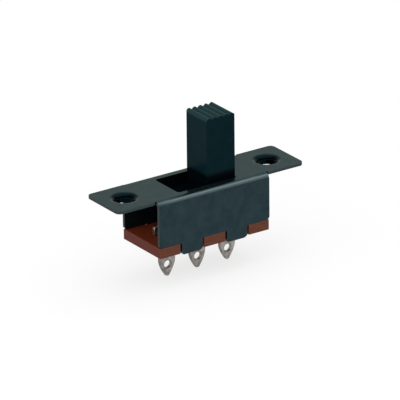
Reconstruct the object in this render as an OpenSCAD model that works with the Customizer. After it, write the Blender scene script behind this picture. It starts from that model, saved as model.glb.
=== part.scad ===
// Slide switch, single pole, two positions, for panel mounting.
// Millimetres. +Z is up along the knob, +X runs along the slot towards the knob at rest,
// and the origin is midway between the mounting holes on the top face of the ears.

/* [Frame] */
// Thickness of the folded sheet
sheet = 0.4; // [0.3:0.05:0.5]
// Length over both ears
frame_l = 29; // [28:0.5:34]
// Width of an ear
ear_w = 7.3; // [6.6:0.1:7.6]
// Corner radius of an ear
ear_corner_r = 0.7; // [0.3:0.1:2]
// Length of the folded channel
channel_l = 17.2; // [16.6:0.1:18]
// Width over the channel's side walls
channel_w = 8.4; // [8:0.1:9]
// Height from the ears' top face to the walls' lower edges
channel_h = 6.4; // [6:0.1:7.5]
// Outer radius of the fold between top and wall
fold_r = 0.8; // [0.6:0.05:0.95]
// Radius of the walls' lower corners
wall_corner_r = 0.5; // [0.3:0.1:1.8]
// Width of the relief notch at the root of an ear
relief_l = 0.2; // [0.15:0.05:0.6]
// Depth of the relief notch
relief_d = 0.3; // [0.2:0.05:0.5]

// Corner radius of the slot
slot_corner_r = 0.4; // [0.1:0.05:0.8]

/* [Mounting holes] */
// Distance between the two mounting holes
hole_pitch = 22.2; // [22:0.1:24]
// Radius of the tapped bore in an ear
hole_r = 1.25; // [1:0.05:1.4]
// Radius of the drawn-in mouth of the bore
mouth_r = 2.05; // [1.5:0.05:2.1]
// Depth of the drawn-in mouth
mouth_d = 0.45; // [0.3:0.05:0.5]
// Wall of the drawn collar under an ear
collar_wall = 0.42; // [0.25:0.05:0.5]
// Height of the drawn collar below the ear's underside
collar_h = 0.74; // [0.4:0.1:1.5]

/* [Crimp tabs] */
// Width of a crimp tab
tab_w = 3.2; // [2:0.1:3.6]
// Distance from the middle of the channel to the middle of a tab
tab_x = 3.5; // [3:0.1:4.5]
// Reach of a tab under the board, from the wall's outer face
tab_reach = 1.7; // [1.2:0.1:2.4]
// Outer radius of a tab's fold
tab_fold_r = 0.55; // [0.5:0.05:0.8]
// Cut at each corner of a tab, along its fold
tab_corner = 0.5; // [0.1:0.05:0.7]

/* [Slider] */
// Travel between the two positions
travel = 4.7; // [4:0.1:4.8]
// Length of the knob along the travel
knob_l = 4.4; // [3:0.1:4.8]
// Width of the knob across the travel
knob_w = 4.7; // [4:0.1:5]
// Height of the knob above the ears' top face
knob_h = 8.85; // [4:0.05:14]
// Number of ridges on the knob's top
ridge_count = 5; // [3:1:6]
// Depth of the grooves between the ridges
ridge_d = 0.3; // [0.1:0.05:0.6]
// Width of the flat crest left on each ridge
ridge_crest = 0.16; // [0.05:0.01:0.3]
// Radius of the knob's upright edges
knob_edge_r = 0.15; // [0.05:0.05:0.5]
// Wall of the hollow slider under the slot
slider_wall = 0.9; // [0.6:0.1:1.1]
// Depth of the hollow in the slider's top, between the rails that run under the sheet
roof_drop = 1.2; // [0.4:0.1:1.4]
// Thickness of the slider's roof
slider_roof = 0.8; // [0.6:0.1:1.2]
// How far each rail's inner side stands back from the slot's edge
rail_inset = 0.05; // [0:0.01:0.2]
// Wall at each end of the clip's pocket
pocket_wall = 0.55; // [0.4:0.05:0.9]

/* [Terminal board] */
// How far each end of the board stands back from the channel's end
board_inset = 0.1; // [0:0.05:0.5]
// Thickness of the board
board_t = 1.4; // [0.8:0.1:2]
// Gap between a crimp tab and each side of its notch
notch_gap = 0.35; // [0.1:0.05:0.5]

/* [Terminals] */
// Distance between neighbouring terminals
pitch = 4.7; // [4.6:0.05:5]
// Thickness of the terminal strip
lug_t = 0.5; // [0.3:0.05:0.6]
// Width of a solder lug
lug_w = 2.45; // [1.6:0.05:3]
// Length of a lug below the board
lug_l = 4.6; // [4:0.1:8]
// Length of the lug's tapered end
lug_taper_l = 1.95; // [1.2:0.05:2.4]
// Radius of the lug's rounded tip
lug_tip_r = 0.4; // [0.2:0.05:0.5]
// Share of the lug's width left at its cheeks, where the taper steepens
lug_cheek_share = 0.72; // [0.6:0.02:0.85]
// Share of the taper's length that lies below the cheeks
lug_cheek_up = 0.55; // [0.4:0.05:0.7]
// Radius of the wire hole in a lug
wire_hole_r = 0.5; // [0.3:0.05:0.6]
// Distance from a lug's tip to the middle of its wire hole
wire_hole_up = 1.65; // [1.4:0.05:3]
// Length of the contact blade on top of the board
blade_l = 4; // [3:0.1:4.3]
// Height of the contact blade above the board
blade_h = 1.3; // [1:0.1:2]
// Corner radius of the contact blade
blade_corner_r = 0.35; // [0.1:0.05:0.6]

/* [Moving contact] */
// Length of the contact clip along the travel
clip_l = 3.9; // [2:0.1:4.4]
// Thickness of the clip's strip
clip_t = 0.2; // [0.1:0.02:0.3]
// Width of the clip over its legs at the top
clip_w = 1.8; // [1.4:0.1:2.4]
// Height of the clip from its mouth to its web
clip_h = 2.1; // [1.6:0.1:3]
// Depth to which the clip's legs reach over the blades
clip_grip = 1; // [0.6:0.1:1.1]
// Share of the grip, from the mouth up, at which the legs touch the blades
clip_wipe_share = 0.45; // [0.3:0.05:0.6]
// Flare of each leg at the mouth
clip_flare = 0.3; // [0.1:0.05:0.4]

/* [Clearances] */
// Gap between the slider and each wall of the channel
side_gap = 0.08; // [0.03:0.01:0.15]
// Gap between the slider and the sheet above it
top_gap = 0.05; // [0.03:0.01:0.1]
// Gap between the slider's feet and the board
foot_gap = 0.05; // [0.03:0.01:0.1]
// Gap between the knob and the end of the slot
stop_gap = 0.03; // [0.01:0.01:0.1]
// Gap between the knob and each side of the slot
slot_side_gap = 0.35; // [0.1:0.05:0.4]
// Room left between the slider and the open end of the channel
end_room = 0.1; // [0:0.05:0.3]
// Gap around a fixed piece seated in its slot or notch
seat_gap = 0.02; // [0.01:0.01:0.05]
// Gap between the clip's legs and a blade
wipe_gap = 0.02; // [0.01:0.01:0.05]
// Gap between the blades and the slider's groove
groove_gap = 0.25; // [0.1:0.05:0.4]

/* [Hidden] */
$fn = 64;
EPS = 0.01;
SIDES = [-1, 1];
LUG_TIP_TURN = 30;

knob_x = travel / 2;
slot_l = travel + knob_l + 2 * stop_gap;
slot_w = knob_w + 2 * slot_side_gap;
mouth_arc = (pow(mouth_r - hole_r, 2) + pow(mouth_d, 2)) / (2 * mouth_d);
inner_w = channel_w - 2 * sheet;
inner_fold_r = fold_r - sheet;
flat_w = channel_w - 2 * fold_r;

board_top = -channel_h;
board_bottom = board_top - board_t;
tab_bottom = board_bottom - seat_gap - sheet;
board_l = channel_l - 2 * board_inset;
notch_w = tab_w + 2 * notch_gap;
notch_d = tab_fold_r;

slider_l = channel_l - travel - 2 * end_room;
slider_w = inner_w - 2 * side_gap;
slider_top = -sheet - top_gap;
slider_foot = board_top + foot_gap;
slider_fold_r = inner_fold_r + side_gap;
roof_top = slider_top - roof_drop;
roof_hollow_w = slot_w + 2 * rail_inset;
cavity_top = roof_top - slider_roof;

blade_top = board_top + blade_h;
groove_w = lug_t + 2 * groove_gap;
groove_top = blade_top + groove_gap;

clip_bottom = blade_top - clip_grip;
clip_top = clip_bottom + clip_h;
clip_gap = lug_t + 2 * wipe_gap;
pocket_l = clip_l + 2 * seat_gap;
pocket_w = clip_w + 2 * seat_gap;

// A line turned end for end.
function reversed(line) = [for (i = [len(line) - 1 : -1 : 0]) line[i]];

// A line mirrored about the upright axis.
function mirrored(line) = [for (p = line) [-p[0], p[1]]];

// A flat rectangle centred on the origin, with round corners.
module rounded_rect(length, width, r) {
    square([length - 2 * r, width], center = true);
    square([length, width - 2 * r], center = true);
    for (sx = SIDES, sy = SIDES)
        translate([sx * (length / 2 - r), sy * (width / 2 - r)]) circle(r);
}

// Stands a profile drawn in Y and Z along X, centred on x.
module along_x(x, length) {
    translate([x - length / 2, 0, 0])
        rotate([90, 0, 90])
            linear_extrude(length) children();
}

// The profile of a block with its two upper edges rounded, from y = -w/2 to w/2.
module arch_profile(w, top, bottom, r) {
    translate([-w / 2, bottom]) square([w, top - r - bottom]);
    translate([-w / 2 + r, bottom]) square([w - 2 * r, top - bottom]);
    for (side = SIDES) translate([side * (w / 2 - r), top - r]) circle(r);
}

// ---- Frame -------------------------------------------------------------

// A wall seen from its side, with its two lower corners rounded.
module wall_outline() {
    difference() {
        translate([-channel_l / 2, -channel_h]) square([channel_l, channel_h]);
        for (side = SIDES)
            translate([side * (channel_l / 2 - wall_corner_r), -channel_h + wall_corner_r])
                difference() {
                    translate([side > 0 ? 0 : -wall_corner_r - EPS, -wall_corner_r - EPS])
                        square(wall_corner_r + EPS);
                    circle(wall_corner_r);
                }
    }
}

// The folded channel: slotted top and two side walls.
module channel() {
    intersection() {
        difference() {
            along_x(0, channel_l) arch_profile(channel_w, 0, -channel_h, fold_r);
            along_x(0, channel_l + 2 * EPS)
                arch_profile(inner_w, -sheet, -channel_h - EPS, inner_fold_r);
        }
        translate([0, channel_w, 0])
            rotate([90, 0, 0])
                linear_extrude(2 * channel_w) wall_outline();
    }
}

// Both ears, cut back at their roots, and the flat strip that joins them.
module ears() {
    root_x = channel_l / 2;
    translate([0, 0, -sheet]) linear_extrude(sheet) {
        square([channel_l + EPS, flat_w], center = true);
        difference() {
            rounded_rect(frame_l, ear_w, ear_corner_r);
            square([channel_l, ear_w + EPS], center = true);
            for (sx = SIDES, sy = SIDES)
                translate([sx * (root_x + relief_l / 2), sy * ear_w / 2])
                    square([relief_l, 2 * relief_d], center = true);
        }
    }
}

// The collar drawn down around a mounting hole, with its bore left solid.
module collar() {
    translate([0, 0, -sheet - collar_h]) cylinder(h = collar_h + sheet / 2, r = hole_r + collar_wall);
}

// The bore of a mounting hole, with the drawn-in curve at its mouth.
module mounting_bore() {
    translate([0, 0, -sheet - collar_h - EPS]) cylinder(h = sheet + collar_h + 2 * EPS, r = hole_r);
    rotate_extrude() difference() {
        translate([0, -mouth_d]) square([mouth_r, mouth_d + EPS]);
        translate([mouth_r, -mouth_arc]) circle(mouth_arc);
    }
}

// The section of a tab that folds under the board, across the channel.
module tab_section() {
    outer_y = -channel_w / 2;
    inner_r = tab_fold_r - sheet;
    difference() {
        union() {
            translate([outer_y, tab_bottom + tab_fold_r])
                square([sheet, board_top + 2 * sheet - tab_bottom - tab_fold_r]);
            translate([outer_y + tab_fold_r, tab_bottom])
                square([tab_reach - tab_fold_r, sheet]);
            intersection() {
                translate([outer_y, tab_bottom]) square(tab_fold_r);
                translate([outer_y + tab_fold_r, tab_bottom + tab_fold_r]) circle(tab_fold_r);
            }
        }
        translate([outer_y + tab_fold_r, tab_bottom + tab_fold_r]) circle(inner_r);
    }
}

// The front of a tab, narrowed at its foot.
module tab_front() {
    half = tab_w / 2;
    head = board_top + 2 * sheet;
    polygon([
        [-half + tab_corner, tab_bottom], [half - tab_corner, tab_bottom],
        [half, tab_bottom + tab_corner], [half, head],
        [-half, head], [-half, tab_bottom + tab_corner]
    ]);
}

module tab(x) {
    intersection() {
        along_x(x, tab_w) tab_section();
        translate([x, 0, 0]) rotate([90, 0, 0]) linear_extrude(channel_w) tab_front();
    }
}

module frame() {
    color("#3a4446") difference() {
        union() {
            channel();
            ears();
            for (side = SIDES) {
                translate([side * hole_pitch / 2, 0, 0]) collar();
                for (x = [-tab_x, tab_x]) mirror([0, side > 0 ? 1 : 0, 0]) tab(x);
            }
        }
        translate([0, 0, -2 * sheet])
            linear_extrude(3 * sheet) rounded_rect(slot_l, slot_w, slot_corner_r);
        for (side = SIDES) translate([side * hole_pitch / 2, 0, 0]) mounting_bore();
    }
}

// ---- Slider ------------------------------------------------------------

// One groove of the knob's ridged top, running across the travel.
module ridge_groove(groove_l) {
    rotate([90, 0, 0])
        linear_extrude(knob_w + 2 * EPS, center = true)
            polygon([[-groove_l / 2, EPS], [0, -ridge_d], [groove_l / 2, EPS]]);
}

module knob() {
    ridge_pitch = knob_l / ridge_count;
    difference() {
        translate([knob_x, 0, roof_top - EPS])
            linear_extrude(knob_h - roof_top + EPS) rounded_rect(knob_l, knob_w, knob_edge_r);
        for (i = [0 : ridge_count])
            translate([knob_x - knob_l / 2 + i * ridge_pitch, 0, knob_h])
                ridge_groove(ridge_pitch - ridge_crest);
    }
}

// The hollow body that rides in the channel, open underneath.
module slider_body() {
    cavity_l = slider_l / 2 - slider_wall - pocket_l / 2 - pocket_wall;
    cavity_x = pocket_l / 2 + pocket_wall + cavity_l / 2;
    difference() {
        along_x(knob_x, slider_l)
            arch_profile(slider_w, slider_top, slider_foot, slider_fold_r);
        along_x(knob_x, slider_l + 2 * EPS)
            translate([-groove_w / 2, slider_foot - EPS])
                square([groove_w, groove_top - slider_foot + EPS]);
        translate([knob_x, 0, roof_top + roof_drop])
            cube([slider_l + 2 * EPS, roof_hollow_w, 2 * roof_drop], center = true);
        for (side = SIDES)
            translate([knob_x + side * cavity_x, 0, (cavity_top + slider_foot) / 2 - EPS])
                cube([cavity_l, slider_w - 2 * slider_wall, cavity_top - slider_foot + 2 * EPS],
                     center = true);
        translate([knob_x, 0, (clip_top + slider_foot) / 2 - EPS / 2])
            cube([pocket_l, pocket_w, clip_top - slider_foot + EPS], center = true);
    }
}

module slider() {
    color("#15191b") union() {
        slider_body();
        knob();
    }
}

// ---- Moving contact ----------------------------------------------------

// The inner line of the clip's right leg, from the web down to the flared mouth.
function leg_line() = [
    [clip_w / 2 - clip_t, clip_top - clip_t],
    [clip_gap / 2, clip_bottom + clip_grip * clip_wipe_share],
    [clip_gap / 2 + clip_flare, clip_bottom]
];

module moving_contact() {
    inner = leg_line();
    outer = concat([[clip_w / 2, clip_top]], [for (p = inner) [p[0] + clip_t, p[1]]]);
    half = concat(outer, reversed(inner));
    color("#c9b48a") along_x(knob_x, clip_l) polygon(concat(mirrored(half), reversed(half)));
}

// ---- Terminal board ----------------------------------------------------

module terminal_board() {
    color("#8a3f22") difference() {
        translate([-board_l / 2, -channel_w / 2, board_bottom]) cube([board_l, channel_w, board_t]);
        for (x = [-tab_x, tab_x], side = SIDES)
            translate([x, side * channel_w / 2, (board_top + board_bottom) / 2])
                cube([notch_w, 2 * notch_d, board_t + 2 * EPS], center = true);
        for (x = [-pitch, 0, pitch])
            translate([x, 0, (board_top + board_bottom) / 2])
                cube([lug_w + 2 * seat_gap, lug_t + 2 * seat_gap, board_t + 2 * EPS], center = true);
    }
}

// ---- Terminals ---------------------------------------------------------

// Half of a terminal's tapered end: shoulder, cheek and the point where the round tip begins.
function lug_end(tip) = [
    [lug_w / 2, tip + lug_taper_l + EPS],
    [lug_w / 2 * lug_cheek_share, tip + lug_taper_l * lug_cheek_up],
    [lug_tip_r * cos(LUG_TIP_TURN), tip + lug_tip_r * (1 - sin(LUG_TIP_TURN))]
];

// A terminal's flat outline: blade on top, stem through the board, pointed lug below.
module terminal_outline() {
    tip = board_bottom - lug_l;
    shoulder = tip + lug_taper_l;
    half = lug_end(tip);
    translate([-blade_l / 2, board_top]) square([blade_l, blade_h - blade_corner_r]);
    translate([-blade_l / 2 + blade_corner_r, board_top])
        square([blade_l - 2 * blade_corner_r, blade_h]);
    for (side = SIDES)
        translate([side * (blade_l / 2 - blade_corner_r), blade_top - blade_corner_r])
            circle(blade_corner_r);
    translate([-lug_w / 2, shoulder]) square([lug_w, board_top - shoulder + EPS]);
    polygon(concat(mirrored(half), reversed(half)));
    translate([0, tip + lug_tip_r]) circle(lug_tip_r);
}

module terminal(x) {
    hole_z = board_bottom - lug_l + wire_hole_up;
    color("#c8c6c2") difference() {
        translate([x, lug_t / 2, 0])
            rotate([90, 0, 0]) linear_extrude(lug_t) terminal_outline();
        translate([x, lug_t, hole_z]) rotate([90, 0, 0]) cylinder(h = 2 * lug_t, r = wire_hole_r);
    }
}

module terminal_left() terminal(-pitch);
module terminal_common() terminal(0);
module terminal_right() terminal(pitch);

frame();
slider();
moving_contact();
terminal_board();
terminal_left();
terminal_common();
terminal_right();
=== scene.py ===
import math

import bmesh
import bpy
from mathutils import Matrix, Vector


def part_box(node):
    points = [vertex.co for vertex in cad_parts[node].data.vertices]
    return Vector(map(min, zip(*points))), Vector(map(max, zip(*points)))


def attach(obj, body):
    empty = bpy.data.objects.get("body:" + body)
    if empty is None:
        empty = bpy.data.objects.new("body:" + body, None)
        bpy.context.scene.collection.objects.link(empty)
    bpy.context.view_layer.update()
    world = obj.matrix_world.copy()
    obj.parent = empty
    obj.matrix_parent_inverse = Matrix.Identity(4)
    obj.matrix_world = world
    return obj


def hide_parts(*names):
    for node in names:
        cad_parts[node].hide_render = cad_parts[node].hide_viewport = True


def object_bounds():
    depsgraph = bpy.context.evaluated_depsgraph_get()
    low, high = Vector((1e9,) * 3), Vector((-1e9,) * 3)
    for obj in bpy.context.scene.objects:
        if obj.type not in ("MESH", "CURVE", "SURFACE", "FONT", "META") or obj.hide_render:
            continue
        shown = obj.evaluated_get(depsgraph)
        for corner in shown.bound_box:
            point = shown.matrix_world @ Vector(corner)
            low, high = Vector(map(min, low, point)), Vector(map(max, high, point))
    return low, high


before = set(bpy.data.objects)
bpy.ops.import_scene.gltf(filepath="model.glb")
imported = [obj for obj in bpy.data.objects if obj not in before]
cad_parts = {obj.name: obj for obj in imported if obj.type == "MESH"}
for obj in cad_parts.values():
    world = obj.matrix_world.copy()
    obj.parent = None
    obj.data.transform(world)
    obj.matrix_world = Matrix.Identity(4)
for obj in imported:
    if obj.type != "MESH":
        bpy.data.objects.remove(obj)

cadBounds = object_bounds()
mm = 0.001          # pieces are shaped in millimetres and brought to metres when they are done
perMetre = 1000     # millimetres in a metre, for the patterns' coordinates
near = 0.004        # two places closer than this are the same place, in millimetres
weld = 0.0005       # points closer than this are merged
beyond = 1          # a cutter reaches this far past what it cuts
print("frame loaded")


def boxOf(node):  # a CAD node's lowest and highest corner, in millimetres
    low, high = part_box(node)
    return low / mm, high / mm


def same(a, b):
    return abs(a - b) < near


def clearSelection():
    if bpy.context.mode != "OBJECT":
        bpy.ops.object.mode_set(mode="OBJECT")
    bpy.ops.object.select_all(action="DESELECT")


def only(piece):  # this piece alone is selected and active, in object mode
    clearSelection()
    piece.select_set(True)
    bpy.context.view_layer.objects.active = piece


def edit(piece):
    only(piece)
    bpy.ops.object.mode_set(mode="EDIT")


def pick(kind, test):  # in edit mode: selects what has every corner passing the test
    bpy.ops.mesh.select_mode(type=kind)
    bpy.ops.mesh.select_all(action="DESELECT")
    mesh = bmesh.from_edit_mesh(bpy.context.edit_object.data)
    parts = {"VERT": mesh.verts, "EDGE": mesh.edges, "FACE": mesh.faces}[kind]
    for part in parts:
        corners = [part] if kind == "VERT" else part.verts
        if all(test(c.co) for c in corners):
            part.select_set(True)
    mesh.select_flush_mode()
    bmesh.update_edit_mesh(bpy.context.edit_object.data)


def extrude(move):
    bpy.ops.mesh.extrude_region_move(TRANSFORM_OT_translate={"value": move})


def newPlane(name, width, depth):  # a flat rectangle about the origin
    clearSelection()
    bpy.ops.mesh.primitive_plane_add(size=1)
    piece = bpy.context.object
    piece.name = piece.data.name = name
    edit(piece)
    bpy.ops.transform.resize(value=(width, depth, 1))
    return piece


def newBlock(name, low, high):
    clearSelection()
    bpy.ops.mesh.primitive_cube_add(size=1)
    piece = bpy.context.object
    piece.name = piece.data.name = name
    piece.location = (Vector(low) + Vector(high)) / 2
    piece.scale = Vector(high) - Vector(low)
    bpy.ops.object.transform_apply(location=True, rotation=True, scale=True)
    return piece


def cutAcross(place, normal):  # splits what is selected along a plane
    bpy.ops.mesh.bisect(plane_co=place, plane_no=normal)


def finishWith(piece, kind, **settings):
    only(piece)
    modifier = piece.modifiers.new(kind.title(), kind)
    for key, value in settings.items():
        setattr(modifier, key, value)
    bpy.ops.object.modifier_apply(modifier=modifier.name)


def carve(piece, cutter, operation="DIFFERENCE"):
    finishWith(piece, "BOOLEAN", object=cutter, operation=operation, solver="EXACT")
    bpy.data.objects.remove(cutter)


def mendNormals(piece):
    edit(piece)
    bpy.ops.mesh.select_all(action="SELECT")
    bpy.ops.mesh.remove_doubles(threshold=weld)
    bpy.ops.mesh.normals_make_consistent(inside=False)
    bpy.ops.object.mode_set(mode="OBJECT")


def dropSlivers(piece, merged=0.003, thinnest=0.002):  # the tiny faces that a cut can leave
    edit(piece)
    bpy.ops.mesh.select_all(action="SELECT")
    bpy.ops.mesh.remove_doubles(threshold=merged)
    bpy.ops.mesh.dissolve_degenerate(threshold=thinnest)
    bpy.ops.object.mode_set(mode="OBJECT")


cutSlot, roundedSlot, rimSlot = 1, 2, 3   # material places that mark some faces for a while


def makeMarkSlots(piece):
    while len(piece.data.materials) <= rimSlot:
        piece.data.materials.append(None)


def softenEdges(piece, width, fromAngle=35, segments=2):
    makeMarkSlots(piece)
    finishWith(piece, "BEVEL", width=width, segments=segments, limit_method="ANGLE",
               angle_limit=math.radians(fromAngle), use_clamp_overlap=True, material=roundedSlot)


def keepMarks(piece):  # the marks become face attributes that the materials read
    marks = [p.material_index for p in piece.data.polygons]
    for name, slot in (("cutFace", cutSlot), ("roundedEdge", roundedSlot),
                       ("outerRim", rimSlot)):
        layer = piece.data.attributes.new(name, "FLOAT", "FACE")
        layer.data.foreach_set("value", [float(mark == slot) for mark in marks])
    piece.data.materials.clear()
    for face in piece.data.polygons:
        face.material_index = 0


def favourFlats(piece):  # flat faces keep their own shading, and the roundings blend into them
    edit(piece)
    bpy.ops.mesh.select_mode(type="FACE")
    bpy.ops.mesh.select_all(action="DESELECT")
    mesh = bmesh.from_edit_mesh(piece.data)
    for face in mesh.faces:
        if max(abs(part) for part in face.normal) > 0.9999:
            face.select_set(True)
    mesh.select_flush_mode()
    bmesh.update_edit_mesh(piece.data)
    bpy.ops.mesh.mod_weighted_strength(set=True, face_strength="STRONG")


def toMetres(piece, smoothAngle=40):  # shaded while still in millimetres, then scaled
    keepMarks(piece)
    favourFlats(piece)
    only(piece)
    bpy.ops.object.shade_smooth_by_angle(angle=math.radians(smoothAngle))
    finishWith(piece, "WEIGHTED_NORMAL", weight=100, keep_sharp=True, use_face_influence=True)
    piece.scale = (mm, mm, mm)
    bpy.ops.object.transform_apply(location=True, rotation=True, scale=True)


# The folded frame. Its outer skin is drawn flat, folded, and then given the sheet's thickness.
frameShape = {
    "sheet": 0.4,
    "channelLength": 17.2,
    "foldRadius": 0.8,
    "foldSteps": 9,
    "earWidth": 7.3,
    "earCorner": 0.7,
    "neckLength": 0.2,
    "wallCorner": 0.5,
    "slot": (9.16, 5.4),
    "slotCorner": 0.4,
    "slotMargin": 0.1,    # a cut face this close to the slot belongs to it
    "tabWidth": 3.2,
    "tabMiddle": 3.5,
    "tabReach": 1.7,
    "tabFold": 0.55,
    "tabFoldSteps": 6,
    "tabCorner": 0.5,
    "softEdge": 0.045,
}
collarShape = {
    "pitch": 22.2,
    "rim": 2.4,           # radius at which the drawn collar meets the flat ear
    "mouth": 2.05,
    "mouthDepth": 0.45,
    "flare": 0.3,         # the outermost part of the mouth, still finished as the ear is
    "bore": 1.25,
    "wall": 0.42,
    "depth": 0.8,
    "rootRound": (0.12, 0.035),   # rounding where the collar leaves the sheet, and its middle
    "segments": 64,
    "mouthSteps": 6,
    "threadPitch": 0.5,
    "threadRadius": 1.48,
    "threadDepth": 0.34,
    "threadFlank": 30,            # half the thread's angle, in degrees
    "threadTop": 0.15,
    "threadTurns": 2,
    "threadSteps": 40,
    "shadeRadius": 1.56,           # below the mouth, only what is inside this gets the painted hole shade
    "shadeFade": (0.05, 0.66),     # where the painted shade starts, and its reach, as shares of the mouth
}


def drawFlatSkin(shape, high):
    halfLength, halfChannel = high.x, shape["channelLength"] / 2
    flat = high.y - shape["foldRadius"]
    root = halfChannel + shape["neckLength"]
    skin = newPlane("frameSheet", 2 * halfLength, shape["earWidth"])
    for x in (-root, -halfChannel, halfChannel, root):
        bpy.ops.mesh.select_all(action="SELECT")
        cutAcross((x, 0, 0), (1, 0, 0))
    for y in (-flat, flat):
        bpy.ops.mesh.select_all(action="SELECT")
        cutAcross((0, y, 0), (0, 1, 0))
    for side in (-1, 1):
        pick("FACE", lambda p: abs(p.x) < root + near and side * p.y > flat - near)
        bpy.ops.mesh.delete(type="FACE")
    bpy.ops.mesh.select_all(action="SELECT")
    bpy.ops.mesh.dissolve_faces(use_verts=False)
    pick("VERT", lambda p: same(abs(p.x), halfLength) and abs(p.y) < flat + near)
    bpy.ops.mesh.dissolve_verts()
    pick("VERT", lambda p: same(abs(p.x), halfLength))
    bpy.ops.mesh.bevel(affect="VERTICES", offset=shape["earCorner"], segments=8)
    return skin, flat


def addSlotAndHoles(shape, collar):
    bpy.ops.mesh.select_all(action="SELECT")
    bpy.ops.mesh.delete(type="ONLY_FACE")
    bpy.ops.mesh.select_mode(type="VERT")
    bpy.ops.mesh.primitive_plane_add(size=1)
    bpy.ops.transform.resize(value=(*shape["slot"], 1))
    bpy.ops.mesh.bevel(affect="VERTICES", offset=shape["slotCorner"], segments=6)
    bpy.ops.mesh.delete(type="ONLY_FACE")
    for side in (-1, 1):
        bpy.ops.mesh.primitive_circle_add(vertices=collar["segments"], radius=collar["rim"],
                                          location=(side * collar["pitch"] / 2, 0, 0))
    bpy.ops.mesh.select_all(action="SELECT")
    bpy.ops.mesh.fill(use_beauty=True)
    bpy.ops.mesh.select_all(action="SELECT")
    bpy.ops.mesh.normals_make_consistent(inside=False)
    bpy.ops.mesh.tris_convert_to_quads()


def foldSide(shape, side, flat, low, high, boardTop):
    halfChannel, radius = shape["channelLength"] / 2, shape["foldRadius"]
    outer, tabLow = side * high.y, low.z
    pick("EDGE", lambda p: same(p.y, side * flat) and abs(p.x) < halfChannel + near)
    bpy.ops.mesh.spin(steps=shape["foldSteps"], angle=math.radians(90),
                      center=(0, side * flat, -radius), axis=(side, 0, 0))
    extrude((0, 0, boardTop + radius))
    # the wall is split at the tabs' sides, and its lower corners are rounded
    for middle in (-shape["tabMiddle"], shape["tabMiddle"]):
        for edge in (-1, 1):
            pick("FACE", lambda p: same(p.y, outer))
            cutAcross((middle + edge * shape["tabWidth"] / 2, 0, 0), (1, 0, 0))
    pick("VERT", lambda p: same(p.y, outer) and same(p.z, boardTop)
         and same(abs(p.x), halfChannel))
    bpy.ops.mesh.bevel(affect="VERTICES", offset=shape["wallCorner"], segments=8)
    # the two tabs go down past the board and fold under it
    halfTab, turn = shape["tabWidth"] / 2, shape["tabFold"]
    for middle in (-shape["tabMiddle"], shape["tabMiddle"]):
        pick("EDGE", lambda p: same(p.y, outer) and same(p.z, boardTop)
             and abs(p.x - middle) < halfTab + near)
        extrude((0, 0, tabLow + turn - boardTop))
        bpy.ops.mesh.spin(steps=shape["tabFoldSteps"], angle=math.radians(90),
                          center=(0, outer - side * turn, tabLow + turn), axis=(side, 0, 0))
        extrude((0, side * (turn - shape["tabReach"]), 0))
        # each row of points below the corner's start is drawn in a little more
        for row in range(1, shape["tabFoldSteps"] + 1):
            rowZ = tabLow + turn * (1 - math.sin(math.radians(90 * row / shape["tabFoldSteps"])))
            inset = min(max(tabLow + shape["tabCorner"] - rowZ, 0), shape["tabCorner"])
            pick("VERT", lambda p: same(p.z, rowZ) and side * p.y > 0
                 and abs(p.x - middle) < halfTab + near)
            bpy.ops.transform.resize(value=(1 - 2 * inset / shape["tabWidth"], 1, 1),
                                     center_override=(middle, 0, 0))


def drawCollars(collar, sheet):
    # the flat ear's cut rim is opened, and a round profile takes its place ring by ring
    rings = [(collar["mouth"], 0)]
    reach, depth = collar["mouth"] - collar["bore"], collar["mouthDepth"]
    curve = (reach ** 2 + depth ** 2) / (2 * depth)
    for step in range(1, collar["mouthSteps"] + 1):
        angle = math.asin(reach / curve) * step / collar["mouthSteps"]
        rings.append((collar["mouth"] - curve * math.sin(angle), -curve * (1 - math.cos(angle))))
    foot = -sheet - collar["depth"]
    outside = collar["bore"] + collar["wall"]
    root, halfway = collar["rootRound"]
    rings += [(collar["bore"], foot), (outside, foot), (outside, -sheet - root),
              (outside + halfway, -sheet - halfway), (outside + root, -sheet),
              (collar["rim"], -sheet)]
    for side in (-1, 1):
        middle = side * collar["pitch"] / 2
        pick("FACE", lambda p: same(math.hypot(p.x - middle, p.y), collar["rim"]))
        bpy.ops.mesh.delete(type="FACE")
        bpy.ops.mesh.select_mode(type="VERT")
        bpy.ops.mesh.select_all(action="DESELECT")
        bpy.ops.mesh.primitive_circle_add(vertices=collar["segments"], radius=collar["rim"],
                                          location=(middle, 0, 0))
        radius, height = collar["rim"], 0
        for nextRadius, nextHeight in rings:
            extrude((0, 0, nextHeight - height))
            ratio = nextRadius / radius
            bpy.ops.transform.resize(value=(ratio, ratio, 1),
                                     center_override=(middle, 0, nextHeight))
            radius, height = nextRadius, nextHeight


def markRims(piece, shape, collar):  # tells the sheet's outer rim from the slot's and the bores', whose cut faces get a darker colour as painted shade
    halfLength, halfWidth = (size / 2 + shape["slotMargin"] for size in shape["slot"])
    holeRadius = collar["mouth"] - collar["flare"]
    for face in piece.data.polygons:
        x, y, z = face.center
        inHole = math.hypot(abs(x) - collar["pitch"] / 2, y) < holeRadius
        inSlot = abs(x) < halfLength and abs(y) < halfWidth and z > -shape["sheet"] - near
        if inHole:
            face.material_index = cutSlot
        elif face.material_index == cutSlot and not inSlot:
            face.material_index = rimSlot


def shadeHoles(piece, collar):  # painted shade: 1 deep in a drawn hole, fading out over the rounding of its mouth
    layer = piece.data.attributes.new("holeShade", "FLOAT", "POINT")
    reach = collar["mouth"] - collar["bore"]
    start, length = collar["shadeFade"]
    mouthFoot = -collar["mouthDepth"] - 0.05     # a little below the rounding
    for vertex, entry in zip(piece.data.vertices, layer.data):
        x, y, z = vertex.co
        radius = math.hypot(abs(x) - collar["pitch"] / 2, y)
        if radius < collar["mouth"] and (z > mouthFoot or radius < collar["shadeRadius"]):
            share = min(max(((collar["mouth"] - radius) / reach - start) / length, 0), 1)
            entry.value = share * share * (3 - 2 * share)


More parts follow.
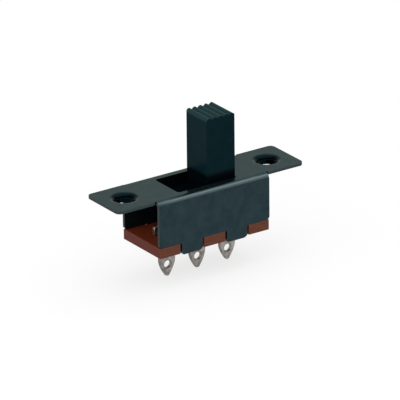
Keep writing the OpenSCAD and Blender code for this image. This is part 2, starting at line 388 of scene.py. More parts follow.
def makeTap(collar, middle):  # the thread's helix, as the tool that cuts it
    clearSelection()
    bpy.ops.mesh.primitive_circle_add(vertices=3, radius=1, fill_type="NGON")
    tap = bpy.context.object
    inner = collar["threadRadius"] - collar["threadDepth"]
    half = collar["threadDepth"] * math.tan(math.radians(collar["threadFlank"]))
    corners = [(collar["threadRadius"], 0), (inner, half), (inner, -half)]
    for vertex, (radius, height) in zip(tap.data.vertices, corners):
        vertex.co = (radius, 0, height)
    finishWith(tap, "SCREW", angle=math.radians(360), screw_offset=-collar["threadPitch"],
               iterations=collar["threadTurns"], steps=collar["threadSteps"],
               render_steps=collar["threadSteps"], axis="Z", use_normal_calculate=True)
    tap.location = (middle, 0, collar["threadTop"])
    bpy.ops.object.transform_apply(location=True, rotation=False, scale=False)
    edit(tap)
    bpy.ops.mesh.select_all(action="SELECT")
    bpy.ops.mesh.fill_holes(sides=3)
    mendNormals(tap)
    return tap


def makeFrame(shape, collar):
    low, high = boxOf("frame")
    boardTop = boxOf("terminal_board")[1].z
    skin, flat = drawFlatSkin(shape, high)
    addSlotAndHoles(shape, collar)
    for side in (-1, 1):
        foldSide(shape, side, flat, low, high, boardTop)
    mendNormals(skin)
    if sum(p.normal.z * p.area for p in skin.data.polygons) < 0:  # it must face up to be thickened
        edit(skin)
        bpy.ops.mesh.select_all(action="SELECT")
        bpy.ops.mesh.flip_normals()
        bpy.ops.object.mode_set(mode="OBJECT")
    makeMarkSlots(skin)
    finishWith(skin, "SOLIDIFY", thickness=shape["sheet"], offset=-1, use_even_offset=True,
               material_offset_rim=cutSlot)
    edit(skin)
    drawCollars(collar, shape["sheet"])
    mendNormals(skin)
    softenEdges(skin, shape["softEdge"])
    for side in (-1, 1):
        carve(skin, makeTap(collar, side * collar["pitch"] / 2))
    dropSlivers(skin)
    markRims(skin, shape, collar)
    shadeHoles(skin, collar)
    return skin


frameSheet = makeFrame(frameShape, collarShape)
toMetres(frameSheet)
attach(frameSheet, "housing")
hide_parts("frame")
print("frame sheet", len(frameSheet.data.polygons), "faces")


# The punched board: a block with notches for the frame's tabs and slots for the terminals.
boardShape = {
    "notch": (3.7, 0.55),
    "slot": (2.49, 0.54),
    "terminalPitch": 4.7,
    "softEdge": 0.05,
}


def makeBoard(shape, tabMiddle):
    low, high = boxOf("terminal_board")
    board = newBlock("boardLaminate", low, high)
    notchLength, notchDepth = shape["notch"]
    for side in (-1, 1):
        for middle in (-tabMiddle, tabMiddle):
            edge = side * high.y
            cutter = newBlock("notchPunch",
                              (middle - notchLength / 2, edge - notchDepth, low.z - beyond),
                              (middle + notchLength / 2, edge + notchDepth, high.z + beyond))
            carve(board, cutter)
    slotLength, slotWidth = shape["slot"]
    for place in (-1, 0, 1):
        middle = place * shape["terminalPitch"]
        cutter = newBlock("slotPunch",
                          (middle - slotLength / 2, -slotWidth / 2, low.z - beyond),
                          (middle + slotLength / 2, slotWidth / 2, high.z + beyond))
        carve(board, cutter)
    makeMarkSlots(board)
    for face in board.data.polygons:
        face.material_index = cutSlot if abs(face.normal.z) < 0.5 else 0
    softenEdges(board, shape["softEdge"])
    return board


# One terminal, drawn flat with its height along Y, then stood up. The other two are its copies.
terminalShape = {
    "thickness": 0.5,
    "bladeCorner": 0.35,
    "width": 2.45,
    "taper": 1.95,
    "cheekWidth": 0.72,      # share of the width left at the cheeks
    "cheekHeight": 0.55,     # share of the taper that is below them
    "shoulderRound": 0.35,
    "cheekRound": 0.3,
    "tipRadius": 0.4,
    "tipAngles": (30, 50, 70, 86),
    "wireHole": 0.5,
    "wireHoleHeight": 1.65,
    "softEdge": 0.12,
}


def narrowTo(width, nextWidth, move):  # one more row of a tapering outline
    extrude((0, move, 0))
    bpy.ops.transform.resize(value=(nextWidth / width, 1, 1), center_override=(0, 0, 0))


def drawTerminal(shape, boardTop, low, high):
    bladeLength = high.x - low.x
    terminal = newPlane("terminalCommon", bladeLength, high.z - boardTop)
    bpy.ops.transform.translate(value=(0, (high.z + boardTop) / 2, 0))
    half = shape["width"] / 2
    for x in (-half, half):
        bpy.ops.mesh.select_all(action="SELECT")
        cutAcross((x, 0, 0), (1, 0, 0))
    pick("EDGE", lambda p: same(p.y, boardTop) and abs(p.x) < half + near)
    shoulder = low.z + shape["taper"]
    cheek = low.z + shape["taper"] * shape["cheekHeight"]
    extrude((0, shoulder - boardTop, 0))
    width, height = shape["width"], shoulder
    rows = [(shape["width"] * shape["cheekWidth"], cheek)]
    for angle in shape["tipAngles"]:
        turn = math.radians(angle)
        rows.append((2 * shape["tipRadius"] * math.cos(turn),
                     low.z + shape["tipRadius"] * (1 - math.sin(turn))))
    for nextWidth, nextHeight in rows:
        narrowTo(width, nextWidth, nextHeight - height)
        width, height = nextWidth, nextHeight
    bpy.ops.mesh.select_all(action="SELECT")
    bpy.ops.mesh.dissolve_faces(use_verts=False)
    pick("VERT", lambda p: same(abs(p.x), half) and same(p.y, shoulder))
    bpy.ops.mesh.bevel(affect="VERTICES", offset=shape["shoulderRound"], segments=4)
    pick("VERT", lambda p: same(p.y, cheek))
    bpy.ops.mesh.bevel(affect="VERTICES", offset=shape["cheekRound"], segments=4)
    pick("VERT", lambda p: same(abs(p.x), bladeLength / 2) and same(p.y, high.z))
    bpy.ops.mesh.bevel(affect="VERTICES", offset=shape["bladeCorner"], segments=6)
    bpy.ops.object.mode_set(mode="OBJECT")
    return terminal


def makeTerminals(shape, pitch):
    boardTop = boxOf("terminal_board")[1].z
    low, high = boxOf("terminal_common")
    common = drawTerminal(shape, boardTop, low, high)
    makeMarkSlots(common)
    finishWith(common, "SOLIDIFY", thickness=shape["thickness"], offset=0,
               material_offset_rim=cutSlot)
    clearSelection()
    bpy.ops.mesh.primitive_cylinder_add(vertices=40, radius=shape["wireHole"], depth=2,
                                        location=(0, low.z + shape["wireHoleHeight"], 0))
    carve(common, bpy.context.object)
    only(common)
    common.rotation_euler = (math.radians(90), 0, 0)
    bpy.ops.object.transform_apply(location=False, rotation=True, scale=False)
    mendNormals(common)
    softenEdges(common, shape["softEdge"], segments=3)
    copies = []
    for name, side in (("terminalLeft", -1), ("terminalRight", 1)):
        only(common)
        bpy.ops.object.duplicate()
        copy = bpy.context.object
        copy.name = copy.data.name = name
        copy.location = (side * pitch, 0, 0)
        bpy.ops.object.transform_apply(location=True, rotation=False, scale=False)
        copies.append(copy)
    return [common, *copies]


# The moulded slider: a hollow body under the slot, and the ridged knob that stands on it.
sliderShape = {
    "bodyTop": -0.45,
    "bodyRound": 0.48,
    "hollow": (5.5, -1.65),       # width between the rails, and height of its floor
    "cavityTop": -2.45,
    "wall": 0.9,
    "groove": (1.0, -4.85),       # width, and height of its roof
    "pocket": (3.94, 1.84, -4.0),
    "pocketWall": 0.55,
    "knob": (4.4, 4.7),
    "knobRoot": 0.3,              # how far the knob reaches down into the base
    "knobEdge": 0.15,
    "ridges": 5,
    "ridgeDepth": 0.27,
    "ridgeRound": 0.24,
    "ridgeSpare": 0.095,          # height that rounding the crests takes off again
    "softEdge": 0.05,
}


def makeKnob(shape, middle, top):
    length, width = shape["knob"]
    low = Vector((middle - length / 2, -width / 2, shape["hollow"][1] - shape["knobRoot"]))
    high = Vector((middle + length / 2, width / 2, top + shape["ridgeSpare"]))
    knob = newBlock("knob", low, high)
    edit(knob)
    step = length / shape["ridges"] / 2
    lines = range(2 * shape["ridges"] + 1)
    for line in lines:
        if 0 < line < lines[-1]:
            pick("FACE", lambda p: same(p.z, high.z))
            cutAcross((low.x + line * step, 0, 0), (1, 0, 0))
    for line in lines[::2]:
        pick("EDGE", lambda p: same(p.x, low.x + line * step) and same(p.z, high.z))
        bpy.ops.transform.translate(value=(0, 0, -shape["ridgeDepth"] - shape["ridgeSpare"]))
    pick("EDGE", lambda p: same(p.z, high.z))
    bpy.ops.mesh.bevel(offset=shape["ridgeRound"], segments=5)
    pick("EDGE", lambda p: same(abs(p.x - middle), length / 2) and same(abs(p.y), width / 2))
    bpy.ops.mesh.bevel(offset=shape["knobEdge"], segments=4)
    bpy.ops.object.mode_set(mode="OBJECT")
    return knob


def makeSlider(shape):
    low, high = boxOf("slider")
    middle = (low.x + high.x) / 2
    slider = newBlock("sliderMoulding", low, (high.x, high.y, shape["bodyTop"]))
    edit(slider)
    for side in (low.y, high.y):
        pick("EDGE", lambda p: same(p.z, shape["bodyTop"]) and same(p.y, side))
        bpy.ops.mesh.bevel(offset=shape["bodyRound"], segments=6)
    under = low.z - beyond
    hollowWidth, hollowFloor = shape["hollow"]
    carve(slider, newBlock("hollow", (low.x - beyond, -hollowWidth / 2, hollowFloor),
                           (high.x + beyond, hollowWidth / 2, shape["bodyTop"] + beyond)))
    grooveWidth, grooveTop = shape["groove"]
    carve(slider, newBlock("groove", (low.x - beyond, -grooveWidth / 2, under),
                           (high.x + beyond, grooveWidth / 2, grooveTop)))
    pocketLength, pocketWidth, pocketTop = shape["pocket"]
    carve(slider, newBlock("pocket", (middle - pocketLength / 2, -pocketWidth / 2, under),
                           (middle + pocketLength / 2, pocketWidth / 2, pocketTop)))
    inner = pocketLength / 2 + shape["pocketWall"]
    outer = high.x - middle - shape["wall"]
    depth = high.y - shape["wall"]
    for start, end in ((-outer, -inner), (inner, outer)):
        carve(slider, newBlock("cavity", (middle + start, -depth, under),
                               (middle + end, depth, shape["cavityTop"])))
    carve(slider, makeKnob(shape, middle, high.z), operation="UNION")
    softenEdges(slider, shape["softEdge"])
    return slider


# The moving contact: a strip bent into a spring clip that straddles the terminals' blades.
clipShape = {
    "strip": 0.2,
    "pinch": (0.47, 0.45),        # half width over the legs, and height above the clip's foot
    "mouth": (0.77, 0.12),
    "cornerRound": 0.32,
    "pinchRound": 0.16,
    "softEdge": 0.03,
}


def makeClip(shape):
    low, high = boxOf("moving_contact")
    clip = newPlane("contactClip", high.x - low.x, high.y - low.y)
    bpy.ops.transform.translate(value=((low.x + high.x) / 2, 0, high.z))
    (halfPinch, pinchHeight), (halfMouth, mouthHeight) = shape["pinch"], shape["mouth"]
    for side in (-1, 1):
        pick("EDGE", lambda p: same(p.y, side * high.y) and same(p.z, high.z))
        extrude((0, side * (halfPinch - high.y), low.z + pinchHeight - high.z))
        extrude((0, side * (halfMouth - halfPinch), mouthHeight - pinchHeight))
    pick("EDGE", lambda p: same(abs(p.y), high.y) and same(p.z, high.z))
    bpy.ops.mesh.bevel(offset=shape["cornerRound"], segments=6)
    pick("EDGE", lambda p: same(abs(p.y), halfPinch) and same(p.z, low.z + pinchHeight))
    bpy.ops.mesh.bevel(offset=shape["pinchRound"], segments=4)
    bpy.ops.object.mode_set(mode="OBJECT")
    makeMarkSlots(clip)
    finishWith(clip, "SOLIDIFY", thickness=shape["strip"], offset=-1, use_even_offset=True,
               material_offset_rim=cutSlot)
    mendNormals(clip)
    softenEdges(clip, shape["softEdge"])
    return clip


boardLaminate = makeBoard(boardShape, frameShape["tabMiddle"])
toMetres(boardLaminate)
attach(boardLaminate, "housing")
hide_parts("terminal_board")
print("board")

terminals = makeTerminals(terminalShape, boardShape["terminalPitch"])
for terminal, node in zip(terminals, ("terminal_common", "terminal_left", "terminal_right")):
    toMetres(terminal)
    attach(terminal, "housing")
    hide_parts(node)
print("terminals")

sliderMoulding = makeSlider(sliderShape)
toMetres(sliderMoulding)
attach(sliderMoulding, "slide")
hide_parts("slider")
print("slider")

contactClip = makeClip(clipShape)
toMetres(contactClip)
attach(contactClip, "slide")
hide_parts("moving_contact")
print("contact clip")


# Finishes. They share a grain at a chosen size, wear along rounded edges (painted shade on the
# terminals), and a mask that rises along a direction.
def addNode(tree, kind, place, **settings):
    item = tree.nodes.new(kind)
    item.location = place
    for key, value in settings.items():
        setattr(item, key, value)
    return item


def startGroup(name, **inputs):  # a group that puts out one mask
    group = bpy.data.node_groups.new(name, "ShaderNodeTree")
    for socket, value in inputs.items():
        kind = "NodeSocketVector" if isinstance(value, tuple) else "NodeSocketFloat"
        entry = group.interface.new_socket(name=socket, in_out="INPUT", socket_type=kind)
        entry.default_value = value
    group.interface.new_socket(name="Mask", in_out="OUTPUT", socket_type="NodeSocketFloat")
    enter = addNode(group, "NodeGroupInput", (-900, 0))
    leave = addNode(group, "NodeGroupOutput", (500, 0))
    return group, group.links.new, enter, leave


def makeGrainGroup():
    group, link, enter, leave = startGroup("grain", Size=1.0, Stretch=1.0, Detail=3.0,
                                           Contrast=1.0)
    place = addNode(group, "ShaderNodeTexCoord", (-900, 250))
    stretch = addNode(group, "ShaderNodeCombineXYZ", (-700, -150))
    stretch.inputs["Y"].default_value = stretch.inputs["Z"].default_value = perMetre
    along = addNode(group, "ShaderNodeMath", (-700, 50), operation="DIVIDE")
    along.inputs[0].default_value = perMetre
    spread = addNode(group, "ShaderNodeMapping", (-500, 200))
    scale = addNode(group, "ShaderNodeMath", (-500, -200), operation="DIVIDE")
    scale.inputs[0].default_value = 1
    noise = addNode(group, "ShaderNodeTexNoise", (-280, 100))
    noise.inputs["Roughness"].default_value = 0.6
    centre = addNode(group, "ShaderNodeMath", (-80, 100), operation="SUBTRACT")
    centre.inputs[1].default_value = 0.5
    gain = addNode(group, "ShaderNodeMath", (100, 100), operation="MULTIPLY")
    shift = addNode(group, "ShaderNodeMath", (280, 100), operation="ADD", use_clamp=True)
    shift.inputs[1].default_value = 0.5
    link(enter.outputs["Stretch"], along.inputs[1])
    link(along.outputs[0], stretch.inputs["X"])
    link(place.outputs["Object"], spread.inputs["Vector"])
    link(stretch.outputs[0], spread.inputs["Scale"])
    link(enter.outputs["Size"], scale.inputs[1])
    link(spread.outputs[0], noise.inputs["Vector"])
    link(scale.outputs[0], noise.inputs["Scale"])
    link(enter.outputs["Detail"], noise.inputs["Detail"])
    link(noise.outputs["Fac"], centre.inputs[0])
    link(centre.outputs[0], gain.inputs[0])
    link(enter.outputs["Contrast"], gain.inputs[1])
    link(gain.outputs[0], shift.inputs[0])
    link(shift.outputs[0], leave.inputs["Mask"])
    return group


# rounded edges in patches: wear on most finishes, painted shade on the terminals
def makeEdgeWearAndShadeGroup(grain):
    group, link, enter, leave = startGroup("edgeWearAndShade", Amount=0.5, Size=0.6)
    edge = addNode(group, "ShaderNodeAttribute", (-500, 200), attribute_name="roundedEdge")
    patches = addNode(group, "ShaderNodeGroup", (-500, -100), node_tree=grain)
    patches.inputs["Contrast"].default_value = 3.5
    strength = addNode(group, "ShaderNodeMath", (-250, -50), operation="MULTIPLY")
    patchedEdges = addNode(group, "ShaderNodeMath", (0, 100), operation="MULTIPLY")
    link(enter.outputs["Size"], patches.inputs["Size"])
    link(patches.outputs["Mask"], strength.inputs[0])
    link(enter.outputs["Amount"], strength.inputs[1])
    link(edge.outputs["Fac"], patchedEdges.inputs[0])
    link(strength.outputs[0], patchedEdges.inputs[1])
    link(patchedEdges.outputs[0], leave.inputs["Mask"])
    return group


def makePlaceGroup():  # rises from 0 to 1 between two places along a direction, in millimetres
    group, link, enter, leave = startGroup("placeMask", Along=(0, 0, 1), From=0.0, To=1.0)
    place = addNode(group, "ShaderNodeTexCoord", (-900, 300))
    inMm = addNode(group, "ShaderNodeVectorMath", (-700, 300), operation="SCALE")
    inMm.inputs["Scale"].default_value = perMetre
    along = addNode(group, "ShaderNodeVectorMath", (-500, 200), operation="DOT_PRODUCT")
    ramp = addNode(group, "ShaderNodeMapRange", (0, 0), interpolation_type="SMOOTHSTEP")
    link(place.outputs["Object"], inMm.inputs[0])
    link(inMm.outputs[0], along.inputs[0])
    link(enter.outputs["Along"], along.inputs[1])
    link(along.outputs["Value"], ramp.inputs["Value"])
    link(enter.outputs["From"], ramp.inputs["From Min"])
    link(enter.outputs["To"], ramp.inputs["From Max"])
    link(ramp.outputs["Result"], leave.inputs["Mask"])
    return group


grainGroup = makeGrainGroup()
edgeWearAndShadeGroup = makeEdgeWearAndShadeGroup(grainGroup)
placeGroup = makePlaceGroup()


def startFinish(name, metallic=0.0, specular=0.5, tint=None):
    finish = bpy.data.materials.new(name)
    finish.use_nodes = True
    tree = finish.node_tree
    shader = tree.nodes["Principled BSDF"]
    shader.inputs["Metallic"].default_value = metallic
    shader.inputs["Specular IOR Level"].default_value = specular
    if tint:
        shader.inputs["Specular Tint"].default_value = (*tint, 1)
    return finish, tree, shader


def addGrain(tree, place, size, stretch=1.0, detail=3.0, contrast=1.0):
    item = addNode(tree, "ShaderNodeGroup", place, node_tree=grainGroup)
    for name, value in (("Size", size), ("Stretch", stretch), ("Detail", detail),
                        ("Contrast", contrast)):
        item.inputs[name].default_value = value
    return item.outputs["Mask"]


def addEdgeWearAndShade(tree, place, amount, size):
    item = addNode(tree, "ShaderNodeGroup", place, node_tree=edgeWearAndShadeGroup)
    item.inputs["Amount"].default_value, item.inputs["Size"].default_value = amount, size
    return item.outputs["Mask"]


def addPlace(tree, place, along, start, end):
    item = addNode(tree, "ShaderNodeGroup", place, node_tree=placeGroup)
    item.inputs["Along"].default_value = along
    item.inputs["From"].default_value, item.inputs["To"].default_value = start, end
    return item.outputs["Mask"]


def addProduct(tree, place, first, second):
    both = addNode(tree, "ShaderNodeMath", place, operation="MULTIPLY")
    tree.links.new(first, both.inputs[0])
    tree.links.new(second, both.inputs[1])
    return both.outputs[0]


def addMix(tree, place, factor, first, second):  # each colour is three numbers or a socket
    mix = addNode(tree, "ShaderNodeMix", place, data_type="RGBA")
    tree.links.new(factor, mix.inputs[0])
    for entry, colour in ((mix.inputs[6], first), (mix.inputs[7], second)):
        if isinstance(colour, tuple):
            entry.default_value = (*colour, 1)
        else:
            tree.links.new(colour, entry)
    return mix.outputs[2]


def addRange(tree, place, value, low, high):
    spread = addNode(tree, "ShaderNodeMapRange", place)
    spread.inputs["To Min"].default_value, spread.inputs["To Max"].default_value = low, high
    tree.links.new(value, spread.inputs["Value"])
    return spread.outputs["Result"]


def addBump(tree, place, height, strength, distance, after=None):
    bump = addNode(tree, "ShaderNodeBump", place)
    bump.inputs["Strength"].default_value = strength
    bump.inputs["Distance"].default_value = distance * mm
    tree.links.new(height, bump.inputs["Height"])
    if after:
        tree.links.new(after, bump.inputs["Normal"])
    return bump.outputs["Normal"]


def addMark(tree, place, name):
    return addNode(tree, "ShaderNodeAttribute", place, attribute_name=name).outputs["Fac"]


def dress(pieces, finish):
    for piece in pieces:
        piece.data.materials.append(finish)


steelFinish = {
    "colour": (0.0256, 0.0458, 0.0518),
    "cloud": (0.0178, 0.0335, 0.0400),    # slightly deeper patches of the blackening
    # cut faces in the slot and the bores, darker than the outer rim's: painted shade
    "cutColour": (0.010, 0.015, 0.017),
    "rimColour": (0.038, 0.051, 0.053),
    # painted shade deep in the drawn holes and over their mouths
    "holeShadeColour": (0.0015, 0.0055, 0.0075),
    "wornColour": (0.09, 0.105, 0.11),
    "bendBurnishAndHighlight": (0.088, 0.113, 0.119),  # burnish and a painted highlight along the middle of each fold
    "bend": (-0.57, -0.39, -0.25, -0.07), # heights at which the burnish and painted highlight start, are full and end
    "bendSide": (3.3, 3.4),               # distances from the middle at which it comes in,
    "bendFade": (-9.5, -5.5),             # and places along the fold where it thins out,
    "bendLeast": 0.4,                     # down to this share of it
    "roughness": (0.10, 0.20),
    "tint": (0.705, 0.737, 0.702),        # what is left of the shine at a flat angle
    "bare": 0.85,                         # the rest is matt blackening
    "grain": (0.30, 0.003),               # strength and depth in millimetres
    "wearAndShade": (0.8, 0.7),                   # amount and size of its patches in millimetres
}


def addBurnishAndHighlight(tree, place, look):  # 1 along the middle of each long fold, 0 outside it: where burnish and a painted highlight go
    x, y = place
    foot, low, high, top = look["bend"]
    band = addProduct(tree, (x + 200, y), addPlace(tree, (x, y), (0, 0, 1), foot, low),
                      addPlace(tree, (x, y - 200), (0, 0, 1), top, high))
    sides = addNode(tree, "ShaderNodeMath", (x + 200, y - 400), operation="ADD")
    for entry, side in enumerate((1, -1)):
        tree.links.new(addPlace(tree, (x, y - 400 - 200 * entry), (0, side, 0),
                                *look["bendSide"]), sides.inputs[entry])
    band = addProduct(tree, (x + 400, y), band, sides.outputs[0])
    fade = addRange(tree, (x + 200, y - 800),
                    addPlace(tree, (x, y - 800), (1, 0, 0), *look["bendFade"]),
                    look["bendLeast"], 1)
    return addProduct(tree, (x + 600, y), band, fade)


def makeBlackenedSteel(look):
    finish, tree, shader = startFinish("blackenedSteel", metallic=look["bare"], specular=0,
                                       tint=look["tint"])
    clouds = addGrain(tree, (-1100, 300), size=1.5, detail=4, contrast=3.0)
    specks = addGrain(tree, (-1100, 0), size=0.16, detail=2, contrast=1.6)
    rolled = addGrain(tree, (-1100, -300), size=0.09, stretch=14, detail=2, contrast=1.5)
    colour = addMix(tree, (-900, 300), clouds, look["colour"], look["cloud"])
    # burnish and a painted highlight along the middle of each fold
    burnishAndHighlight = addProduct(tree, (-900, 800), addBurnishAndHighlight(tree, (-2000, 800), look),
                        addRange(tree, (-1100, 900), specks, 0.75, 1.0))
    colour = addMix(tree, (-780, 450), burnishAndHighlight, colour, look["bendBurnishAndHighlight"])
    for x, mark, over in ((-660, "cutFace", "cutColour"), (-540, "outerRim", "rimColour"),
                          (-420, "holeShade", "holeShadeColour")):
        colour = addMix(tree, (x, 300), addMark(tree, (x - 120, 600), mark), colour, look[over])
    colour = addMix(tree, (-300, 300), addEdgeWearAndShade(tree, (-500, 820), *look["wearAndShade"]),
                    colour, look["wornColour"])
    tree.links.new(colour, shader.inputs["Base Color"])
    tree.links.new(addRange(tree, (-600, 0), clouds, *look["roughness"]),
                   shader.inputs["Roughness"])
    strength, depth = look["grain"]
    normal = addBump(tree, (-600, -250), specks, strength * 0.5, depth)
    normal = addBump(tree, (-400, -250), rolled, strength, depth, after=normal)
    tree.links.new(normal, shader.inputs["Normal"])
    return finish


mouldingFinish = {
    "colour": (0.0017, 0.0116, 0.0153),
    "bloom": (0.0031, 0.0150, 0.0188),
    # painted shade for the knob's foot and the body under the frame
    "footShadeColour": (0.0010, 0.0024, 0.0034),
    "footShade": (0.75, 1.45),             # painted shade: the knob's foot and the body below the frame are darker; the teal bloom starts above the frame
    "crownWearAndSheenColour": (0.012, 0.033, 0.036),
    "crown": (8.28, 8.6),                 # fingers have dulled the ridges, and a sheen is painted on them, but not on the faces at their ends
    "crownSides": (-2.35, -2.2),          # but not the faces at their ends
    "wornColour": (0.010, 0.025, 0.029),
    "roughness": (0.14, 0.24),
    "specular": 0.012,
    "grain": (0.25, 0.004),
    "wearAndShade": (0.7, 0.5),
}


def makeBlackMoulding(look):
    finish, tree, shader = startFinish("blackMoulding", specular=look["specular"])
    flow = addGrain(tree, (-1100, 300), size=1.8, detail=3, contrast=2.0)
    texture = addGrain(tree, (-1100, -100), size=0.07, detail=2, contrast=1.4)
    colour = addMix(tree, (-800, 300), flow, look["colour"], look["bloom"])
    colour = addMix(tree, (-650, 300), addEdgeWearAndShade(tree, (-800, 520), *look["wearAndShade"]),
                    colour, look["wornColour"])
    # painted shade below the frame and at the knob's foot
    colour = addMix(tree, (-500, 300), addPlace(tree, (-800, 700), (0, 0, 1), *look["footShade"]),
                    look["footShadeColour"], colour)
    # the ridges' crowns are lighter: finger wear and a painted sheen
    crownWearAndSheen = addPlace(tree, (-1000, 900), (0, 0, 1), *look["crown"])
    for side in (-1, 1):
        crownWearAndSheen = addProduct(tree, (-700 + 100 * side, 900 + 100 * side), crownWearAndSheen,
                             addPlace(tree, (-1000, 1100 + 100 * side), (0, side, 0),
                                      *look["crownSides"]))
    colour = addMix(tree, (-350, 300), crownWearAndSheen, colour, look["crownWearAndSheenColour"])
    tree.links.new(colour, shader.inputs["Base Color"])
    tree.links.new(addRange(tree, (-600, 0), flow, *look["roughness"]),
                   shader.inputs["Roughness"])
    tree.links.new(addBump(tree, (-500, -250), texture, *look["grain"]),
                   shader.inputs["Normal"])
    return finish


boardFinish = {
    "colour": (0.200, 0.034, 0.012),
    "fibre": (0.150, 0.026, 0.010),
    "cutColour": (0.152, 0.052, 0.030),
    "cutFibre": (0.078, 0.026, 0.015),
    "endColour": (0.094, 0.0225, 0.0145), # the sawn ends are darker
    "end": (8.44, 8.48),                  # distances from the middle at which that comes in
    "roughness": (0.42, 0.62),
    "specular": 0.08,
    "grain": (0.40, 0.006),
    "layers": (0.35, 0.008),
    "wearAndShade": (0.7, 0.4),
}


def makePhenolicBoard(look):
    finish, tree, shader = startFinish("phenolicBoard", specular=look["specular"])
    cut = addMark(tree, (-1100, 700), "cutFace")
    fibres = addGrain(tree, (-1100, 400), size=0.22, stretch=3, detail=4, contrast=2.2)
    layers = addGrain(tree, (-1100, 100), size=0.12, stretch=18, detail=3, contrast=2.6)
    specks = addGrain(tree, (-1100, -200), size=0.08, detail=2, contrast=1.5)
    face = addMix(tree, (-800, 450), fibres, look["colour"], look["fibre"])
    edge = addMix(tree, (-800, 200), layers, look["cutColour"], look["cutFibre"])
    for end in (-1, 1):
        place = (-950, 1000 + 200 * end)
        edge = addMix(tree, (-700 + 30 * end, 200),
                      addPlace(tree, place, (end, 0, 0), *look["end"]), edge, look["endColour"])
    colour = addMix(tree, (-550, 400), cut, face, edge)
    colour = addMix(tree, (-350, 400), addEdgeWearAndShade(tree, (-550, 620), *look["wearAndShade"]),
                    colour, look["cutColour"])
    tree.links.new(colour, shader.inputs["Base Color"])
    tree.links.new(addRange(tree, (-550, 50), fibres, *look["roughness"]),
                   shader.inputs["Roughness"])
    normal = addBump(tree, (-550, -200), specks, *look["grain"])
    normal = addBump(tree, (-350, -200), layers, *look["layers"], after=normal)
    tree.links.new(normal, shader.inputs["Normal"])
    return finish


platingFinish = {
    "colour": (0.42, 0.39, 0.365),
    "dull": (0.18, 0.168, 0.157),
    "cutColour": (0.16, 0.145, 0.13),
    "edgeShadeColour": (0.10, 0.09, 0.082),    # painted shade on the rounded punched edges
    "roughness": (0.30, 0.48),
    "scuffs": (0.40, 0.006),
    "wearAndShade": (1.0, 0.4),
}


def makePlatedTerminal(look):
    finish, tree, shader = startFinish("platedTerminal", metallic=1.0)
    tarnish = addGrain(tree, (-1100, 300), size=0.55, detail=5, contrast=3.2)
    scuffs = addGrain(tree, (-1100, 0), size=0.12, detail=3, contrast=2.2)
    colour = addMix(tree, (-800, 300), tarnish, look["colour"], look["dull"])
    colour = addMix(tree, (-600, 300), addMark(tree, (-800, 500), "cutFace"),
                    colour, look["cutColour"])
    # painted shade in patches along the rounded punched edges
    colour = addMix(tree, (-400, 300), addEdgeWearAndShade(tree, (-600, 520), *look["wearAndShade"]),
                    colour, look["edgeShadeColour"])
    tree.links.new(colour, shader.inputs["Base Color"])
    tree.links.new(addRange(tree, (-600, 0), scuffs, *look["roughness"]),
                   shader.inputs["Roughness"])
    tree.links.new(addBump(tree, (-500, -250), scuffs, *look["scuffs"]),
                   shader.inputs["Normal"])
    return finish


stripFinish = {
    "colour": (0.60, 0.46, 0.27),
    "dull": (0.42, 0.30, 0.16),
    "roughness": (0.22, 0.38),
    "grain": (0.30, 0.004),
}


def makeContactStrip(look):
    finish, tree, shader = startFinish("contactStrip", metallic=1.0)
    tarnish = addGrain(tree, (-900, 300), size=0.7, detail=4, contrast=2.2)
    drawn = addGrain(tree, (-900, 0), size=0.06, stretch=10, detail=2, contrast=1.8)
    tree.links.new(addMix(tree, (-600, 300), tarnish, look["colour"], look["dull"]),
                   shader.inputs["Base Color"])
    tree.links.new(addRange(tree, (-600, 0), drawn, *look["roughness"]),
                   shader.inputs["Roughness"])
    tree.links.new(addBump(tree, (-500, -250), drawn, *look["grain"]), shader.inputs["Normal"])
    return finish


dress([frameSheet], makeBlackenedSteel(steelFinish))
dress([boardLaminate], makePhenolicBoard(boardFinish))
dress(terminals, makePlatedTerminal(platingFinish))
dress([sliderMoulding], makeBlackMoulding(mouldingFinish))
dress([contactClip], makeContactStrip(stripFinish))
print("finishes")


# Camera, lamps and floor
cameraView = {
    "place": (-0.42518, -0.62221, 0.30923),
    "turn": (67.492, 0.511, -34.596),
    "lens": 569.9,
    "sensor": 36,
    "clip": (0.01, 50),
}
lampPlan = {
    "overhead": {"place": (0.15, -0.1, 0.9), "size": 1.2, "power": 6.8},
    "left": {"place": (-0.75, -0.2, 0.3), "size": 1.1, "power": 4.8},
}
floorPlan = {"size": 12, "colour": 0.8, "whiteShare": 0.75}
worldLight = 0.6


def makeCamera(view):
    camera = bpy.data.objects.new("camera", bpy.data.cameras.new("camera"))
    bpy.context.scene.collection.objects.link(camera)
    camera.location = view["place"]
    camera.rotation_euler = [math.radians(a) for a in view["turn"]]
    camera.data.lens = view["lens"]
    camera.data.sensor_width = view["sensor"]
    camera.data.clip_start, camera.data.clip_end = view["clip"]
    bpy.context.scene.camera = camera


def makeLamps(plan):
    for name, lamp in plan.items():
        light = bpy.data.lights.new(name, "AREA")
        light.energy, light.size = lamp["power"], lamp["size"]
        holder = bpy.data.objects.new(name, light)
        bpy.context.scene.collection.objects.link(holder)
        holder.location = lamp["place"]
        holder.rotation_euler = (-Vector(lamp["place"])).to_track_quat("-Z", "Y").to_euler()
        holder.visible_camera = False


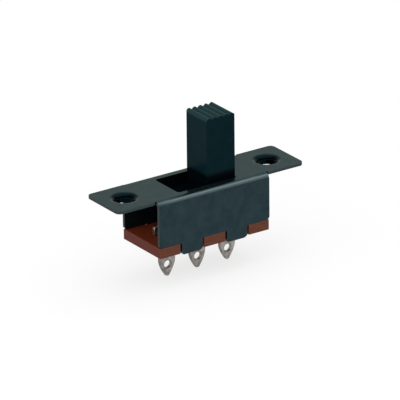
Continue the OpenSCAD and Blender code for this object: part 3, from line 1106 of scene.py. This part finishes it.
def addSeenDirectly(tree):  # 1 where the camera, a gloss or a clear piece looks at the backdrop
    rays = addNode(tree, "ShaderNodeLightPath", (-900, 300))
    total = rays.outputs["Is Camera Ray"]
    for name in ("Is Glossy Ray", "Is Transmission Ray"):
        both = addNode(tree, "ShaderNodeMath", (-700, 300), operation="MAXIMUM")
        tree.links.new(total, both.inputs[0])
        tree.links.new(rays.outputs[name], both.inputs[1])
        total = both.outputs[0]
    return total


def makeWorld(strength):
    world = bpy.data.worlds.new("studio")
    world.use_nodes = True
    bpy.context.scene.world = world
    background = world.node_tree.nodes["Background"]
    background.inputs["Color"].default_value = (1, 1, 1, 1)
    level = addRange(world.node_tree, (-300, 200), addSeenDirectly(world.node_tree), strength, 1)
    world.node_tree.links.new(level, background.inputs["Strength"])


def makeFloor(plan):
    low = cadBounds[0]
    clearSelection()
    bpy.ops.mesh.primitive_grid_add(x_subdivisions=4, y_subdivisions=4, size=plan["size"],
                                    location=(0, 0, low.z))
    floor = bpy.context.object
    floor.name = floor.data.name = "studioFloor"
    bpy.ops.object.transform_apply(location=True, rotation=False, scale=False)
    finish = bpy.data.materials.new("paleFloor")
    finish.use_nodes = True
    tree = finish.node_tree
    tree.nodes.remove(tree.nodes["Principled BSDF"])
    paper = addNode(tree, "ShaderNodeBsdfDiffuse", (-300, 100))
    paper.inputs["Color"].default_value = (*[plan["colour"]] * 3, 1)
    glow = addNode(tree, "ShaderNodeEmission", (-300, -100))
    mix = addNode(tree, "ShaderNodeMixShader", (0, 0))
    share = addNode(tree, "ShaderNodeMath", (-300, 300), operation="MULTIPLY")
    share.inputs[1].default_value = plan["whiteShare"]
    tree.links.new(addSeenDirectly(tree), share.inputs[0])
    tree.links.new(share.outputs[0], mix.inputs[0])
    tree.links.new(paper.outputs[0], mix.inputs[1])
    tree.links.new(glow.outputs[0], mix.inputs[2])
    tree.links.new(mix.outputs[0], tree.nodes["Material Output"].inputs["Surface"])
    floor.data.materials.append(finish)


makeCamera(cameraView)
makeLamps(lampPlan)
makeWorld(worldLight)
makeFloor(floorPlan)
bpy.context.scene.view_settings.view_transform = "Standard"
print("studio")
